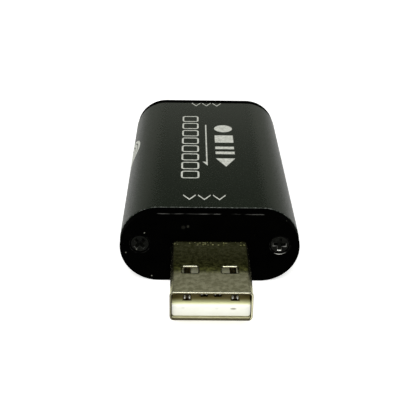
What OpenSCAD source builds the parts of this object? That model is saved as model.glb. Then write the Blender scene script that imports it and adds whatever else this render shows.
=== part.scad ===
// Video capture box: a drawn tube closed by two screwed end plates, with a flat data plug at the front,
// a video socket at the rear and a circuit board held in rails between them.
// X is across, Y runs from the plug to the socket and Z is up.
// The origin is under the middle of the whole length.

/* [Housing tube] */
// Width of the housing tube
body_w = 28.6; // [27.6:0.1:34]
// Height of the housing tube
body_h = 12.4; // [12:0.1:16]
// Length of the housing tube between the end plates
tube_len = 46; // [44:0.5:70]
// Wall of the housing tube
tube_wall = 1.2; // [0.8:0.1:1.5]
// Thickness of each rail that holds the circuit board
rail_t = 0.8; // [0.5:0.1:1]
// How far a rail reaches over the edge of the circuit board
rail_grip = 0.9; // [0.5:0.1:1.2]

/* [End plates] */
// Thickness of each end plate
plate_t = 2; // [1.4:0.1:3]
// How far the outline of an end plate stands in from the tube
plate_inset = 0.1; // [0.05:0.05:0.3]
// Gap round a connector in its end plate
plate_gap = 0.2; // [0.1:0.05:0.4]

/* [End plate screws] */
// Distance between the two screws of an end plate
screw_pitch = 22; // [21:0.1:23]
// Height of the screws above the middle of the tube
screw_lift = 0.6; // [0:0.1:0.8]
// Thread diameter of a screw
screw_d = 2; // [1.6:0.1:2.2]
// Overall length of a screw
screw_len = 7; // [5:0.5:12]
// Diameter of the countersunk head
head_d = 2.8; // [2.6:0.1:3.4]
// Depth of the head below the face of the end plate
head_sink = 0.2; // [0.1:0.05:0.4]
// Wall round the screw channel in the tube
channel_wall = 0.9; // [0.6:0.1:1.1]
// Width of a slot of the cross recess
recess_w = 0.5; // [0.4:0.05:0.7]
// Depth of the cross recess
recess_depth = 0.3; // [0.2:0.05:0.4]

/* [Circuit board] */
// Thickness of the circuit board
board_t = 1; // [0.8:0.1:1.2]
// Height of the underside of the board above the underside of the tube
board_z = 2.9; // [2.6:0.1:3.1]
// Gap between the board and each rail
board_gap = 0.05; // [0.03:0.01:0.1]
// Gap between the board and each end plate
board_end_gap = 0.2; // [0.1:0.05:0.5]
// Gap between the edge of the board and the wall of the tube
board_side_gap = 0.3; // [0.2:0.05:0.6]

/* [Data plug] */
// Width of the plug
plug_w = 12; // [11:0.1:13]
// Height of the plug
plug_h = 4.85; // [4.3:0.05:5]
// Length of the plug in front of the end plate
plug_out = 14; // [12:0.5:18]
// Length of the plug behind the end plate
plug_in = 5; // [4:0.5:7]
// Height of the underside of the plug above the underside of the tube
plug_z = 2.3; // [2.2:0.1:2.8]
// Outer corner radius of the plug
plug_r = 0.65; // [0.5:0.05:0.9]
// Sheet thickness of the plug shell
plug_sheet = 0.25; // [0.2:0.05:0.4]
// Depth of the free space above the plug tongue
plug_void = 12; // [11:0.5:13]
// Width of the seam under the plug shell
plug_seam = 0.06; // [0.04:0.02:0.2]
// Thickness of the plug tongue
tongue_t = 2.1; // [1.7:0.02:2.2]
// Distance of the tongue tip behind the mouth of the plug
tongue_recess = 0.8; // [0.3:0.05:1]
// Bevel on the tip of the tongue
tongue_bevel = 0.4; // [0.1:0.05:0.5]
// Width of a latch window in the plug shell
window_w = 2.4; // [2:0.1:3]
// Length of a latch window
window_l = 1.85; // [1.6:0.05:3]
// Corner radius of a latch window
window_r = 0.25; // [0.1:0.05:0.8]
// Distance between the middles of the two windows on one face
window_pitch = 5.9; // [5.5:0.1:6.6]
// How far both windows sit off the middle of the plug, as photographed
window_shift = -0.12; // [-0.2:0.02:0.2]
// Distance of the windows behind the mouth of the plug
window_y = 5.25; // [4:0.05:6]

/* [Data plug contacts] */
// Width of a plug contact
pin_w = 1; // [0.8:0.05:1.2]
// Thickness of a plug contact
pin_t = 0.25; // [0.15:0.05:0.3]
// How far a contact stands above the tongue
pin_proud = 0.05; // [0.02:0.01:0.1]
// Distance between the two power contacts
power_pitch = 7; // [6.5:0.1:7.5]
// Distance between the two data contacts
data_pitch = 2; // [1.8:0.1:2.4]
// Distance of the power contacts behind the tongue tip
power_set_back = 1.5; // [1.4:0.1:2.6]
// Distance of the data contacts behind the tongue tip
data_set_back = 2.5; // [2.2:0.1:3.6]
// Length of a soldered contact foot
pin_foot = 1.6; // [1:0.1:2]

/* [Video socket] */
// Width of the mouth of the socket
socket_w = 14; // [13:0.1:15]
// Height of the mouth of the socket
socket_h = 4.55; // [4.4:0.05:5]
// Size of the sloped lower corners of the mouth
socket_cut = 2; // [1.6:0.1:2.2]
// Corner radius of the mouth
socket_r = 0.4; // [0.3:0.05:0.6]
// Sheet thickness of the socket shell
socket_sheet = 0.3; // [0.2:0.05:0.35]
// Length of the socket
socket_len = 11.5; // [11:0.5:13]
// Distance of the mouth below the face of the end plate
socket_recess = 0.2; // [0.1:0.05:0.5]
// Length of the block that closes the back of the socket
socket_block = 3; // [2.5:0.1:3.4]
// Width of the socket tongue
blade_w = 11; // [10.4:0.1:11.4]
// Thickness of the socket tongue
blade_t = 1.6; // [1.4:0.1:1.8]
// Distance of the socket tongue behind the mouth
blade_recess = 1.8; // [1.4:0.1:2.2]

/* [Video socket contacts] */
// Number of contacts above the socket tongue
upper_count = 10; // [6:1:10]
// Number of contacts below the socket tongue
lower_count = 9; // [5:1:9]
// Distance between neighbouring contacts of a row
wire_pitch = 1; // [0.9:0.05:1]
// Width of a socket contact
wire_w = 0.36; // [0.25:0.01:0.4]
// Thickness of a socket contact
wire_t = 0.15; // [0.1:0.01:0.2]
// Length of a soldered socket contact foot
wire_foot = 1.1; // [0.8:0.1:1.4]

/* [Video socket springs] */
// Width of a spring finger
spring_w = 1.8; // [1.4:0.1:2.2]
// Length of a spring finger
spring_l = 4; // [3.4:0.1:4.2]
// Distance between the two spring fingers on one face
spring_pitch = 6; // [5:0.1:6.6]
// Distance of the finger roots behind the mouth
spring_root = 2.2; // [1.8:0.1:2.6]
// Inward bend of a finger at rest, in degrees
spring_bend = 4.5; // [3:0.5:6]
// Gap round a spring finger in its slot
spring_gap = 0.15; // [0.1:0.01:0.2]

/* [Solder legs] */
// Length of a leg along the board
leg_l = 1.2; // [0.8:0.1:1.5]
// How far a leg reaches below the board
leg_below = 0.6; // [0.3:0.1:0.8]
// Gap round a leg in its hole in the board
leg_gap = 0.12; // [0.08:0.01:0.2]
// Reach of the plug's wings over the board
wing_w = 2.2; // [1.8:0.1:2.6]
// Radius of a solder joint on the underside of the board
solder_r = 1; // [0.9:0.05:1.2]
// Radius of a solder joint at the end of its leg
solder_tip_r = 0.7; // [0.6:0.05:0.8]

/* [Board components] */
// Side of the square capture chip
chip_side = 9; // [7:0.5:9.5]
// Height of the capture chip
chip_h = 1.4; // [1:0.1:1.6]
// Number of leads on each side of the capture chip
chip_leads = 16; // [8:1:16]
// Length of the memory chip
memory_l = 4.9; // [4:0.1:5.2]
// Width of the memory chip
memory_w = 3.9; // [3.4:0.1:4]
// Height of the memory chip
memory_h = 1.45; // [1:0.05:1.6]
// Length of the voltage regulator
regulator_l = 2.9; // [2.4:0.1:3.2]
// Width of the voltage regulator
regulator_w = 1.6; // [1.3:0.1:1.8]
// Height of the voltage regulator
regulator_h = 1.1; // [0.8:0.1:1.3]
// Length of the clock crystal
crystal_l = 3.2; // [2.5:0.1:4]
// Width of the clock crystal
crystal_w = 2.5; // [2:0.1:2.6]
// Height of the clock crystal
crystal_h = 0.8; // [0.6:0.1:1.2]
// Length of a small chip part such as a resistor
smd_l = 1.6; // [1:0.1:1.8]
// Width of a small chip part
smd_w = 0.8; // [0.5:0.1:0.9]
// Number of ceramic capacitors beside the capture chip
capacitor_count = 6; // [2:1:6]
// Number of chip resistors in front of the capture chip
resistor_count = 4; // [1:1:5]
// Length of a surge protector
protector_l = 2.5; // [2:0.1:3]
// Width of a surge protector
protector_w = 1; // [0.8:0.1:1.2]
// Height of a surge protector
protector_h = 0.55; // [0.4:0.05:0.7]
// Thickness of a chip lead
lead_t = 0.15; // [0.1:0.01:0.2]
// Reach of a chip lead from its body
lead_reach = 0.9; // [0.7:0.1:1.1]
// Clear space between neighbouring parts on the board
part_space = 0.7; // [0.4:0.1:0.9]

/* [Hidden] */
$fn = 64;

// Gap between two pieces that are assembled with a close fit
fit_gap = 0.03;
// Radial gap of a screw shank in an end plate
shank_gap = 0.15;
// Gap between the plug insulator and the shell round it
insulator_gap = 0.05;
// Metal left round the cross recess at the recess's full depth
head_rim = 0.15;
// How far a slot or a cut runs past the piece that it opens
cut_over = 1;

// Places along Y
overall_len = plug_out + tube_len + 2 * plate_t;
plug_front = -overall_len / 2;
plate_front = plug_front + plug_out;
tube_front = plate_front + plate_t;
tube_rear = tube_front + tube_len;
plate_rear = tube_rear + plate_t;
plug_rear = tube_front + plug_in;
tongue_tip = plug_front + tongue_recess;
board_front = tube_front + board_end_gap;
board_rear = tube_rear - board_end_gap;
socket_mouth = plate_rear - socket_recess;
socket_back = socket_mouth - socket_len;
spring_axis_y = socket_mouth - spring_root;

// Places along Z
mid_z = body_h / 2;
screw_z = mid_z + screw_lift;
board_top = board_z + board_t;
leg_end = board_z - leg_below;
plug_mid = plug_z + plug_h / 2;
tongue_floor = plug_z + plug_sheet + insulator_gap;
tongue_top = plug_z + plug_sheet + tongue_t;
pin_top = tongue_top + pin_proud;
pin_under = pin_top - pin_t;
socket_floor = board_top + socket_sheet;
socket_roof = socket_floor + socket_h;
blade_mid = socket_floor + socket_h / 2;
upper_sheet = socket_roof + socket_sheet / 2;
lower_sheet = socket_floor - socket_sheet / 2;

// Tube and board sections
channel_r = screw_d / 2 + fit_gap;
arc_x = (body_w - body_h) / 2;
inner_r = mid_z - tube_wall;
board_half = arc_x + sqrt(pow(inner_r, 2) - pow(mid_z - board_z, 2)) - board_side_gap;
rail_x = board_half - rail_grip;

// Plug insulator and its contacts
plug_inner_w = plug_w - 2 * plug_sheet;
plug_inner_h = plug_h - 2 * plug_sheet;
plug_inner_r = plug_r - plug_sheet;
insulator_over = 0.3;
insulator_rear = plug_rear + insulator_over;
notch_rear = insulator_rear + board_end_gap;
pin_riser = notch_rear + board_end_gap;
pin_end = pin_riser + pin_foot;
pocket_side = 0.15;
pocket_front = 0.6;
pocket_l = 0.7;
pocket_depth = 0.65;
hook_depth = 0.35;

// Plug wings and socket legs
wing_y = tube_front + plug_in / 2;
wing_x = plug_w / 2 + wing_w;
socket_leg_x = socket_w / 2 + socket_sheet;
socket_leg_ys = [socket_back + socket_block / 2, tube_rear - board_end_gap - leg_l];

// Socket contacts
wire_riser = socket_back - board_end_gap;
wire_end = wire_riser - wire_foot;
blade_lip = 0.4;
wire_tip = socket_mouth - blade_recess - blade_lip;
upper_wire_z = blade_mid + blade_t / 2 - wire_t;
lower_wire_z = blade_mid - blade_t / 2;

// Board components
chip_stand = 0.1;
lead_fill = 0.45;
chip_lead_pitch = chip_side / (chip_leads + 2);
chip_lead_w = chip_lead_pitch * lead_fill;
chip_reach = chip_side / 2 + lead_reach + part_space;
protector_y = wire_end - part_space - protector_w / 2;
chip_y = protector_y - protector_w / 2 - chip_reach;
bead_x = data_pitch / 2;
bead_y = pin_end + part_space + smd_l / 2;
bead_side = bead_x + smd_w / 2 + part_space + lead_reach;
memory_x = -bead_side - memory_w / 2;
memory_y = pin_end + part_space + memory_l / 2;
memory_lead_count = 4;
memory_lead_pitch = 1.27;
memory_lead_w = 0.42;
regulator_x = bead_side + regulator_w / 2;
regulator_y = pin_end + part_space + regulator_l / 2;
regulator_lead_count = 3;
regulator_lead_pitch = 0.95;
regulator_lead_w = 0.4;
crystal_x = chip_reach + crystal_w / 2;
capacitor_x = -chip_reach - smd_l / 2;
resistor_y = chip_y - chip_reach - smd_l / 2;
smd_step = smd_w + part_space;

// Place of item i in a row of n that is centred on zero
function row_place(i, n, step) = (i - (n - 1) / 2) * step;

// Vector of length one along v
function unit(v) = v / norm(v);

// Points of a convex outline, given anticlockwise, with every corner rounded to radius r in n steps
function rounded(pts, r, n = 6) = [
    for (i = [0:len(pts) - 1])
        let (
            corner = pts[i],
            back = unit(pts[(i + len(pts) - 1) % len(pts)] - corner),
            ahead = unit(pts[(i + 1) % len(pts)] - corner),
            half = acos(back * ahead) / 2,
            centre = corner + unit(back + ahead) * r / sin(half),
            start = corner + back * r / tan(half) - centre,
            first = atan2(start.y, start.x),
            step = (180 - 2 * half) / n
        )
        for (k = [0:n]) centre + r * [cos(first + k * step), sin(first + k * step)]
];

// Outline of the socket mouth grown outwards by d on every side, from its own floor line
function mouth_points(d) =
    let (side = socket_w / 2 + d, cut = socket_cut + d * (2 - sqrt(2)))
    [
        [side, cut - d], [side, socket_h + d], [-side, socket_h + d],
        [-side, cut - d], [cut - side, -d], [side - cut, -d]
    ];

// Box between two corners
module span(lo, hi) {
    translate(lo) cube(hi - lo);
}

// Shape drawn in X and Z, drawn out along Y
module along_y(y0, y1) {
    translate([0, y1, 0]) rotate([90, 0, 0]) linear_extrude(y1 - y0) children();
}

// Shape drawn in Y and Z, drawn out along X over a width centred at x
module along_x(x, w) {
    translate([x - w / 2, 0, 0]) rotate([90, 0, 90]) linear_extrude(w) children();
}

// Round bar or cone along Y
module bar_y(x, z, y0, y1, r0, r1) {
    translate([x, y0, z]) rotate([-90, 0, 0]) cylinder(h = y1 - y0, r1 = r0, r2 = r1);
}

// Outline with full round ends, centred
module stadium(w, h) {
    square([w - h, h], center = true);
    for (s = [-1, 1]) translate([s * (w - h) / 2, 0]) circle(d = h);
}

// Rectangle with round corners, centred
module round_rect(w, h, r) {
    square([w - 2 * r, h], center = true);
    square([w, h - 2 * r], center = true);
    for (sx = [-1, 1], sy = [-1, 1]) translate([sx * (w / 2 - r), sy * (h / 2 - r)]) circle(r);
}

// Socket mouth grown by d, at its place in X and Z
module mouth_outline(d) {
    translate([0, socket_floor]) polygon(rounded(mouth_points(d), socket_r + d));
}

// Copies of a piece at the left and the right
module both_sides() {
    for (s = [0, 1]) mirror([s, 0, 0]) children();
}

// Screw channel, its web down to the upper rail, and the two rails on the right side of the tube's section
module tube_side() {
    translate([screw_pitch / 2, screw_z]) circle(channel_r + channel_wall);
    translate([screw_pitch / 2, board_top + board_gap])
        square([body_w / 2 - screw_pitch / 2, screw_z + channel_r - board_top - board_gap]);
    for (z = [board_z - board_gap - rail_t, board_top + board_gap])
        translate([rail_x, z]) square([body_w / 2 - rail_x, rail_t]);
}

module housing_tube() {
    color("#2b2d2e") along_y(tube_front, tube_rear) difference() {
        union() {
            translate([0, mid_z]) difference() {
                stadium(body_w, body_h);
                stadium(body_w - 2 * tube_wall, body_h - 2 * tube_wall);
            }
            intersection() {
                translate([0, mid_z]) stadium(body_w - tube_wall, body_h - tube_wall);
                both_sides() tube_side();
            }
        }
        both_sides() translate([screw_pitch / 2, screw_z]) circle(channel_r);
        translate([-board_half - board_gap, board_z - board_gap])
            square([2 * (board_half + board_gap), board_t + 2 * board_gap]);
    }
}

// Outline and thickness of an end plate, with its screw holes countersunk from the face at outer
module plain_plate(inner, outer) {
    out = sign(outer - inner);
    low = min(inner, outer);
    high = max(inner, outer);
    hole_r = screw_d / 2 + shank_gap;
    seat_r = head_d / 2 + fit_gap + head_sink;
    sink_end = outer - out * (seat_r - hole_r);
    difference() {
        along_y(low, high) translate([0, mid_z]) stadium(body_w - 2 * plate_inset, body_h - 2 * plate_inset);
        both_sides() {
            bar_y(screw_pitch / 2, screw_z, low - cut_over, high + cut_over, hole_r, hole_r);
            if (out > 0) bar_y(screw_pitch / 2, screw_z, sink_end, outer, hole_r, seat_r);
            else bar_y(screw_pitch / 2, screw_z, outer, sink_end, seat_r, hole_r);
        }
    }
}

module plug_end_plate() {
    color("#101112") difference() {
        plain_plate(tube_front, plate_front);
        along_y(plate_front - cut_over, tube_front + cut_over) translate([0, plug_mid])
            round_rect(plug_w + 2 * plate_gap, plug_h + 2 * plate_gap, plug_r + plate_gap);
    }
}

module socket_end_plate() {
    color("#101112") difference() {
        plain_plate(tube_rear, plate_rear);
        along_y(tube_rear - cut_over, plate_rear + cut_over) mouth_outline(socket_sheet + plate_gap);
    }
}

// Countersunk screw with a cross recess, its head face at the origin and its shank along +Y
module screw() {
    head_h = (head_d - screw_d) / 2;
    slot_half = head_d / 2 - recess_depth - head_rim;
    difference() {
        union() {
            bar_y(0, 0, 0, head_h, head_d / 2, screw_d / 2);
            bar_y(0, 0, head_h, screw_len, screw_d / 2, screw_d / 2);
        }
        span([-recess_w / 2, -cut_over, -slot_half], [recess_w / 2, recess_depth, slot_half]);
        span([-slot_half, -cut_over, -recess_w / 2], [slot_half, recess_depth, recess_w / 2]);
    }
}

module end_plate_screws() {
    color("#1b1c1d") both_sides() {
        translate([screw_pitch / 2, plate_front + head_sink, screw_z]) screw();
        translate([screw_pitch / 2, plate_rear - head_sink, screw_z]) rotate([0, 0, 180]) screw();
    }
}

// Hole in the board for a solder leg of thickness t that ends at x on its outer side
module leg_hole(x, y, t) {
    span([x - t - leg_gap, y - leg_l / 2 - leg_gap, board_z - cut_over],
        [x + leg_gap, y + leg_l / 2 + leg_gap, board_top + cut_over]);
}

module circuit_board() {
    notch_half = plug_w / 2 + plate_gap;
    color("#1d5a36") difference() {
        span([-board_half, board_front, board_z], [board_half, board_rear, board_top]);
        span([-notch_half, board_front - cut_over, board_z - cut_over],
            [notch_half, notch_rear, board_top + cut_over]);
        both_sides() {
            leg_hole(wing_x, wing_y, plug_sheet);
            for (y = socket_leg_ys) leg_hole(socket_leg_x, y, socket_sheet);
        }
    }
}

// Wing of the plug shell that lies on the board, with the leg that goes through it
module plug_wing() {
    wing_end = [wing_x, wing_y + leg_l / 2, board_top + plug_sheet];
    span([plug_w / 2 - plug_sheet, wing_y - leg_l / 2, board_top], wing_end);
    span([wing_x - plug_sheet, wing_y - leg_l / 2, leg_end], wing_end);
}

module plug_shell() {
    window_mid = plug_front + window_y + window_l / 2;
    color("#a9a79d") difference() {
        union() {
            along_y(plug_front, plug_rear) translate([0, plug_mid]) round_rect(plug_w, plug_h, plug_r);
            both_sides() plug_wing();
        }
        along_y(plug_front - cut_over, plug_rear + cut_over) translate([0, plug_mid])
            round_rect(plug_inner_w, plug_inner_h, plug_inner_r);
        for (s = [-1, 1]) translate([window_shift + s * window_pitch / 2, window_mid, plug_z - cut_over])
            linear_extrude(plug_h + 2 * cut_over) round_rect(window_w, window_l, window_r);
        span([-plug_seam / 2, plug_front - cut_over, plug_z - cut_over],
            [plug_seam / 2, plug_rear + cut_over, plug_z + plug_sheet + insulator_gap]);
    }
}

// Groove for one contact in the plug insulator, with the pocket for its bent tip
module pin_groove(x, set_back) {
    tip = tongue_tip + set_back;
    half = pin_w / 2 + fit_gap;
    span([x - half, tip - pocket_side, pin_under - fit_gap],
        [x + half, insulator_rear + cut_over, pin_top + fit_gap]);
    span([x - half - pocket_side, tip - pocket_front, tongue_top - pocket_depth],
        [x + half + pocket_side, tip + pocket_l, tongue_top + cut_over]);
}

module plug_insulator() {
    block_front = plug_front + plug_void;
    color("#f1efe6") difference() {
        intersection() {
            along_y(tongue_tip, insulator_rear) translate([0, plug_mid])
                round_rect(plug_inner_w - 2 * insulator_gap, plug_inner_h - 2 * insulator_gap, plug_inner_r);
            along_x(0, plug_w) polygon([
                [tongue_tip, tongue_floor], [insulator_rear, tongue_floor], [insulator_rear, plug_z + plug_h],
                [block_front, plug_z + plug_h], [block_front, tongue_top],
                [tongue_tip + tongue_bevel, tongue_top], [tongue_tip, tongue_top - tongue_bevel]
            ]);
        }
        for (s = [-1, 1]) {
            pin_groove(s * power_pitch / 2, power_set_back);
            pin_groove(s * data_pitch / 2, data_set_back);
        }
    }
}

// One contact of the plug: bent tip, strip along the tongue, riser and soldered foot
module pin(x, set_back) {
    tip = tongue_tip + set_back;
    along_x(x, pin_w) polygon([
        [tip, pin_top], [tip, pin_under - hook_depth], [tip + pin_t, pin_under - hook_depth],
        [tip + pin_t, pin_under], [pin_riser, pin_under], [pin_riser, board_top], [pin_end, board_top],
        [pin_end, board_top + pin_t], [pin_riser + pin_t, board_top + pin_t], [pin_riser + pin_t, pin_top]
    ]);
}

module plug_power_contact() {
    color("#c9a64f") pin(-power_pitch / 2, power_set_back);
}

module plug_data_minus_contact() {
    color("#c9a64f") pin(-data_pitch / 2, data_set_back);
}

module plug_data_plus_contact() {
    color("#c9a64f") pin(data_pitch / 2, data_set_back);
}

module plug_ground_contact() {
    color("#c9a64f") pin(power_pitch / 2, power_set_back);
}

// Slot in the socket shell for one spring finger, cut through the whole height at x
module spring_slot(x, sheet_z) {
    half = spring_w / 2 + spring_gap;
    span([x - half, spring_axis_y - spring_l - spring_gap, sheet_z - socket_sheet],
        [x + half, spring_axis_y, sheet_z + socket_sheet]);
    translate([x - half, spring_axis_y, sheet_z]) rotate([0, 90, 0])
        cylinder(h = 2 * half, r = socket_sheet / 2 + fit_gap);
}

module socket_leg(y) {
    span([socket_leg_x - socket_sheet, y - leg_l / 2, leg_end],
        [socket_leg_x, y + leg_l / 2, socket_roof - socket_r - socket_sheet]);
}

module socket_shell() {
    color("#b3b2ad") difference() {
        union() {
            along_y(socket_back, socket_mouth) mouth_outline(socket_sheet);
            both_sides() for (y = socket_leg_ys) socket_leg(y);
        }
        along_y(socket_back - cut_over, socket_mouth + cut_over) mouth_outline(0);
        both_sides() for (z = [lower_sheet, upper_sheet]) spring_slot(spring_pitch / 2, z);
    }
}

// Middle of contact i in a row of n
function wire_x(i, n) = row_place(i, n, wire_pitch);

// Grooves in the socket insulator for a row of n contacts whose undersides are at z
module wire_grooves(n, z) {
    half = wire_w / 2 + fit_gap;
    for (i = [0:n - 1]) span([wire_x(i, n) - half, socket_back - cut_over, z - fit_gap],
        [wire_x(i, n) + half, wire_tip + fit_gap, z + wire_t + fit_gap]);
}

module socket_insulator() {
    color("#17181a") difference() {
        union() {
            along_y(socket_back, socket_back + socket_block) mouth_outline(-insulator_gap);
            span([-blade_w / 2, socket_back, blade_mid - blade_t / 2],
                [blade_w / 2, socket_mouth - blade_recess, blade_mid + blade_t / 2]);
        }
        wire_grooves(upper_count, upper_wire_z);
        wire_grooves(lower_count, lower_wire_z);
    }
}

// Row of n socket contacts whose undersides are at z: strip, riser and soldered foot
module wires(n, z) {
    for (i = [0:n - 1]) along_x(wire_x(i, n), wire_w) polygon([
        [wire_tip, z], [wire_tip, z + wire_t], [wire_riser - wire_t, z + wire_t],
        [wire_riser - wire_t, board_top + wire_t], [wire_end, board_top + wire_t],
        [wire_end, board_top], [wire_riser, board_top], [wire_riser, z]
    ]);
}

module socket_upper_contacts() {
    color("#c9a64f") wires(upper_count, upper_wire_z);
}

module socket_lower_contacts() {
    color("#c9a64f") wires(lower_count, lower_wire_z);
}

// Spring finger on a round root at x and sheet_z, bent inwards: inward is 1 for down and -1 for up
module spring(x, sheet_z, inward) {
    translate([x, spring_axis_y, sheet_z]) rotate([inward * spring_bend, 0, 0]) {
        translate([-spring_w / 2, 0, 0]) rotate([0, 90, 0]) cylinder(h = spring_w, d = socket_sheet);
        span([-spring_w / 2, -spring_l, -socket_sheet / 2], [spring_w / 2, 0, socket_sheet / 2]);
    }
}

module spring_upper_left() {
    color("#b3b2ad") spring(-spring_pitch / 2, upper_sheet, 1);
}

module spring_upper_right() {
    color("#b3b2ad") spring(spring_pitch / 2, upper_sheet, 1);
}

module spring_lower_left() {
    color("#b3b2ad") spring(-spring_pitch / 2, lower_sheet, -1);
}

module spring_lower_right() {
    color("#b3b2ad") spring(spring_pitch / 2, lower_sheet, -1);
}

// Bent lead of a chip, from its body at the origin outwards along +X to a foot on the board
module lead(w, root_z) {
    knee = lead_reach / 3;
    span([0, -w / 2, root_z - lead_t], [knee + lead_t, w / 2, root_z]);
    span([knee, -w / 2, 0], [knee + lead_t, w / 2, root_z]);
    span([knee, -w / 2, 0], [lead_reach, w / 2, lead_t]);
}

// Row of n leads on the +X side of a body that is w wide and h high
module lead_row(n, pitch, lead_w, w, h) {
    for (i = [0:n - 1])
        translate([w / 2, row_place(i, n, pitch), board_top]) lead(lead_w, chip_stand + h / 2);
}

// Moulded body of a chip, standing just above the board
module chip_body(x, y, w, l, h) {
    span([x - w / 2, y - l / 2, board_top + chip_stand], [x + w / 2, y + l / 2, board_top + chip_stand + h]);
}

module capture_chip() {
    color("#161718") chip_body(0, chip_y, chip_side, chip_side, chip_h);
}

module capture_chip_leads() {
    color("#c4c4c0") for (a = [0:90:270]) translate([0, chip_y, 0]) rotate([0, 0, a])
        lead_row(chip_leads, chip_lead_pitch, chip_lead_w, chip_side, chip_h);
}

module memory_chip() {
    color("#161718") chip_body(memory_x, memory_y, memory_w, memory_l, memory_h);
}

module memory_chip_leads() {
    color("#c4c4c0") for (a = [0, 180]) translate([memory_x, memory_y, 0]) rotate([0, 0, a])
        lead_row(memory_lead_count, memory_lead_pitch, memory_lead_w, memory_w, memory_h);
}

module voltage_regulator() {
    color("#161718") chip_body(regulator_x, regulator_y, regulator_w, regulator_l, regulator_h);
}

module voltage_regulator_leads() {
    color("#c4c4c0") translate([regulator_x, regulator_y, 0]) {
        lead_row(regulator_lead_count, regulator_lead_pitch, regulator_lead_w, regulator_w, regulator_h);
        rotate([0, 0, 180])
            lead_row(regulator_lead_count - 1, 2 * regulator_lead_pitch, regulator_lead_w,
                regulator_w, regulator_h);
    }
}

// Small block soldered flat on the board, l along X and w along Y
module on_board(x, y, l, w, h) {
    span([x - l / 2, y - w / 2, board_top], [x + l / 2, y + w / 2, board_top + h]);
}

module clock_crystal() {
    color("#c9c9c4") on_board(crystal_x, chip_y, crystal_w, crystal_l, crystal_h);
}

module ceramic_capacitors() {
    color("#b08a5a") for (i = [0:capacitor_count - 1])
        on_board(capacitor_x, chip_y + row_place(i, capacitor_count, smd_step), smd_l, smd_w, smd_w);
}

module chip_resistors() {
    color("#202124") for (i = [0:resistor_count - 1])
        on_board(regulator_x + row_place(i, resistor_count, smd_step), resistor_y, smd_w, smd_l, smd_w / 2);
}

module ferrite_beads() {
    color("#3a3c40") both_sides() on_board(bead_x, bead_y, smd_w, smd_l, smd_w);
}

module surge_protectors() {
    color("#161718") both_sides() on_board(protector_l, protector_y, protector_l, protector_w, protector_h);
}

// Solder cone round a leg of thickness t that ends at x on its outer side
module solder(x, y, t) {
    difference() {
        translate([x - t / 2, y, leg_end]) cylinder(h = leg_below, r1 = solder_tip_r, r2 = solder_r);
        span([x - t, y - leg_l / 2, leg_end - cut_over], [x, y + leg_l / 2, board_z + cut_over]);
    }
}

module solder_joints() {
    color("#c6c8c8") both_sides() {
        solder(wing_x, wing_y, plug_sheet);
        for (y = socket_leg_ys) solder(socket_leg_x, y, socket_sheet);
    }
}

housing_tube();
plug_end_plate();
socket_end_plate();
end_plate_screws();
circuit_board();
plug_shell();
plug_insulator();
plug_power_contact();
plug_data_minus_contact();
plug_data_plus_contact();
plug_ground_contact();
socket_shell();
socket_insulator();
socket_upper_contacts();
socket_lower_contacts();
spring_upper_left();
spring_upper_right();
spring_lower_left();
spring_lower_right();
capture_chip();
capture_chip_leads();
memory_chip();
memory_chip_leads();
voltage_regulator();
voltage_regulator_leads();
clock_crystal();
ceramic_capacitors();
chip_resistors();
ferrite_beads();
surge_protectors();
solder_joints();
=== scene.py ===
# Video capture box: the finish of every piece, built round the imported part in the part's own frame.
import math

import bmesh
import bpy
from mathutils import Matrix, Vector


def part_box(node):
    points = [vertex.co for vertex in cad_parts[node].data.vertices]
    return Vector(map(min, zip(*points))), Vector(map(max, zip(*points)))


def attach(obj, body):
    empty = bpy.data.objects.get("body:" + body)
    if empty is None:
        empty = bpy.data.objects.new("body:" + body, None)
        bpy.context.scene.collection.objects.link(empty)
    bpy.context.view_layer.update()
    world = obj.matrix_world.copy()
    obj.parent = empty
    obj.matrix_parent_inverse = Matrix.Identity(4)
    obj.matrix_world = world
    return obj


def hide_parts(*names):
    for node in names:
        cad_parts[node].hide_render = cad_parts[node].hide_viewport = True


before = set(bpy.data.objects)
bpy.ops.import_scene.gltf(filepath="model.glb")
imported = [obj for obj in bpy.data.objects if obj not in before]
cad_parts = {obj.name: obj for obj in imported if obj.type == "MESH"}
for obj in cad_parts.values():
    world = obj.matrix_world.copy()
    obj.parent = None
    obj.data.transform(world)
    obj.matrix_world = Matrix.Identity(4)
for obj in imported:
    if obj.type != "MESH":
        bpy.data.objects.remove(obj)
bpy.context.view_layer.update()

# Sizes are in millimetres until a mesh is made
MM = 0.001
ROOT = "box"


def extent(node):
    """Lowest and highest corner of a CAD node, in millimetres."""
    low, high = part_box(node)
    return low / MM, high / MM


tube_low, tube_high = extent("housing_tube")
plug_plate_low, plug_plate_high = extent("plug_end_plate")
socket_plate_low, socket_plate_high = extent("socket_end_plate")
plug_low, plug_high = extent("plug_shell")
tongue_low = extent("plug_insulator")[0]
board_low, board_high = extent("circuit_board")
socket_low, socket_high = extent("socket_shell")
screw_low, screw_high = extent("end_plate_screws")

# Housing tube
BODY_W = tube_high.x - tube_low.x
BODY_H = tube_high.z - tube_low.z
MID_Z = BODY_H / 2
TUBE_WALL = 1.2
TUBE_EDGE = 0.16
RAIL_T = 0.8
RAIL_GRIP = 0.9
BOARD_GAP = 0.05
ARC_X = (BODY_W - BODY_H) / 2
BORE_R = MID_Z - TUBE_WALL
RAIL_X = board_high.x - RAIL_GRIP

# End plates and their screws
PLATE_W = plug_plate_high.x - plug_plate_low.x
PLATE_H = plug_plate_high.z - plug_plate_low.z
PLATE_EDGE = 0.22
PLATE_BACK_EDGE = 0.05
PLATE_GAP = 0.2
SEAT_EDGE = 0.06
OPENING_EDGE = 0.12
HEAD_D = screw_high.z - screw_low.z
SCREW_Z = (screw_low.z + screw_high.z) / 2
SCREW_SPACING = screw_high.x - screw_low.x - HEAD_D
SCREW_D = 2.0
SCREW_LEN = 7.0
HEAD_SINK = screw_low.y - plug_plate_low.y
SEAT_GAP = 0.03
SHANK_GAP = 0.15
CHANNEL_R = SCREW_D / 2 + SEAT_GAP
CHANNEL_WALL = 0.9

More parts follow.
